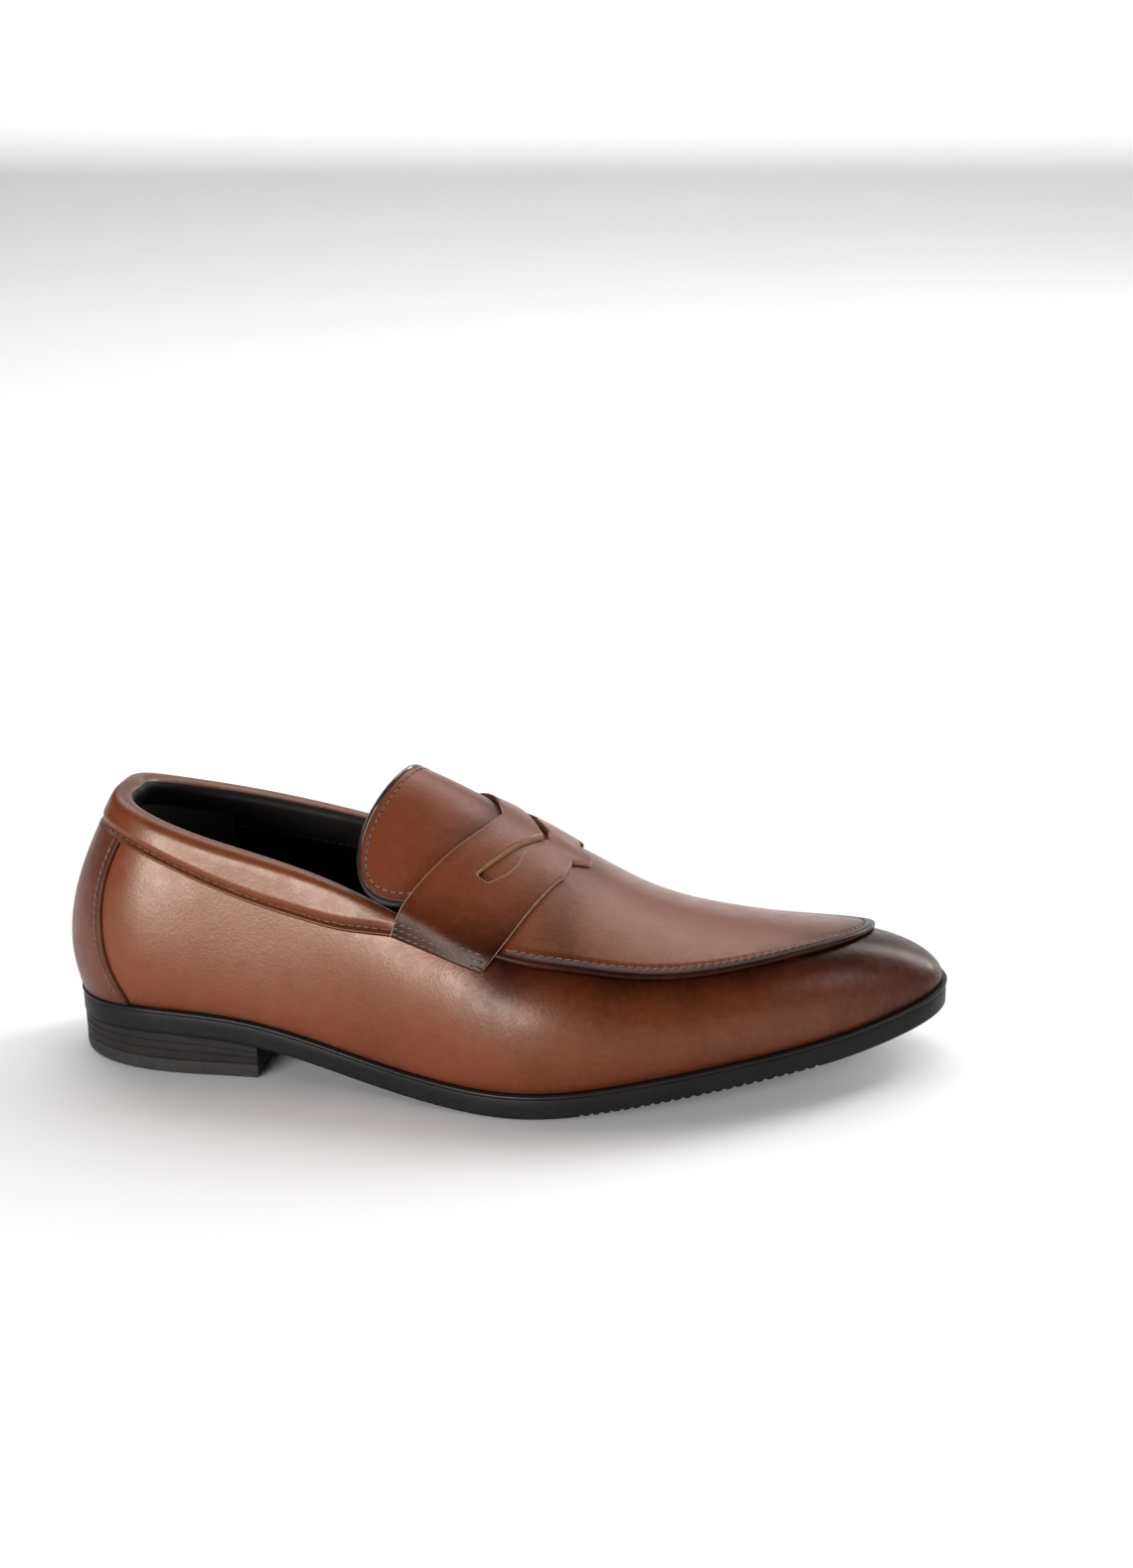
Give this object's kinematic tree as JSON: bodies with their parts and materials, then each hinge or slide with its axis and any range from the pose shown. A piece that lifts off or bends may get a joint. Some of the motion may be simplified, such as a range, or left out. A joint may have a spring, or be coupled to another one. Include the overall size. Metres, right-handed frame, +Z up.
{
  "type": "penny loafer",
  "caption": "Right-foot slip-on dress shoe with a moccasin apron, a slotted saddle strap, a padded collar and a low stacked heel.",
  "frame": {"origin": "on the ground, under the middle of the shoe's bounding box", "axes": "+X from heel to toe, +Y to the medial (inner) side of this right shoe, +Z up"},
  "size_m": [0.2995, 0.106, 0.1017],
  "materials": {
    "sole_rubber": "black moulded rubber with a satin, finely brushed edge",
    "rand_rubber": "black moulded rubber, waxed",
    "heel_stack": "black stack with faint level lines, satin",
    "lift_rubber": "black matt rubber",
    "nail_steel": "plain wire nails",
    "shank_steel": "ribbed spring steel",
    "cork": "pressed granulated cork",
    "fibre_board": "pressed cellulose board",
    "foam": "open cell latex foam",
    "sock_leather": "black lining leather, matt",
    "upper_leather": "cognac smooth calf, hand burnished to dark brown, soft gloss",
    "counter_leather": "cognac smooth calf, burnished, soft gloss",
    "stiffener_board": "impregnated thermoplastic felt",
    "collar_leather": "cognac smooth calf, soft gloss",
    "heel_suede": "black brushed anti-slip lining",
    "lining_leather": "black lining leather, matt",
    "vamp_fabric": "black woven twill lining",
    "apron_leather": "cognac smooth calf, burnished edge, soft gloss",
    "tongue_leather": "cognac smooth calf, soft gloss",
    "edge_binding": "black edge paint, glossy",
    "strap_leather": "cognac smooth calf, raw light cut edges, soft gloss",
    "thread": "tan bonded thread"
  },
  "bodies": {
    "shoe": {"apron": "apron_leather", "apron_lining": "vamp_fabric", "apron_stitching": "thread", "bottom_filler": "cork", "collar_band": "collar_leather", "collar_foam": "foam", "collar_stitching": "thread", "counter_panel": "counter_leather", "counter_stitching": "thread", "heel_block": "heel_stack", "heel_lining": "heel_suede", "heel_nails": "nail_steel", "heel_pad": "foam", "heel_stiffener": "stiffener_board", "heel_top_piece": "lift_rubber", "insole_board": "fibre_board", "outsole": "sole_rubber", "quarter_lining_lateral": "lining_leather", "quarter_lining_medial": "lining_leather", "shank": "shank_steel", "sock_liner": "sock_leather", "sole_rand": "rand_rubber", "strap": "strap_leather", "strap_stitching": "thread", "toe_puff": "stiffener_board", "upper_wall": "upper_leather", "vamp_lining": "vamp_fabric"},
    "tongue": {"tongue": "tongue_leather", "tongue_lining": "lining_leather", "tongue_binding": "edge_binding", "tongue_stitching": "thread"}
  },
  "joints": [
    {"name": "tongue_lift", "type": "hinge", "parent": "shoe", "child": "tongue", "pos_m": [0.00215, 0.0019, 0.0855], "axis": [0, 1, 0], "range_deg": [0, 25], "stiffness_Nm_per_rad": 0.5}
  ]
}
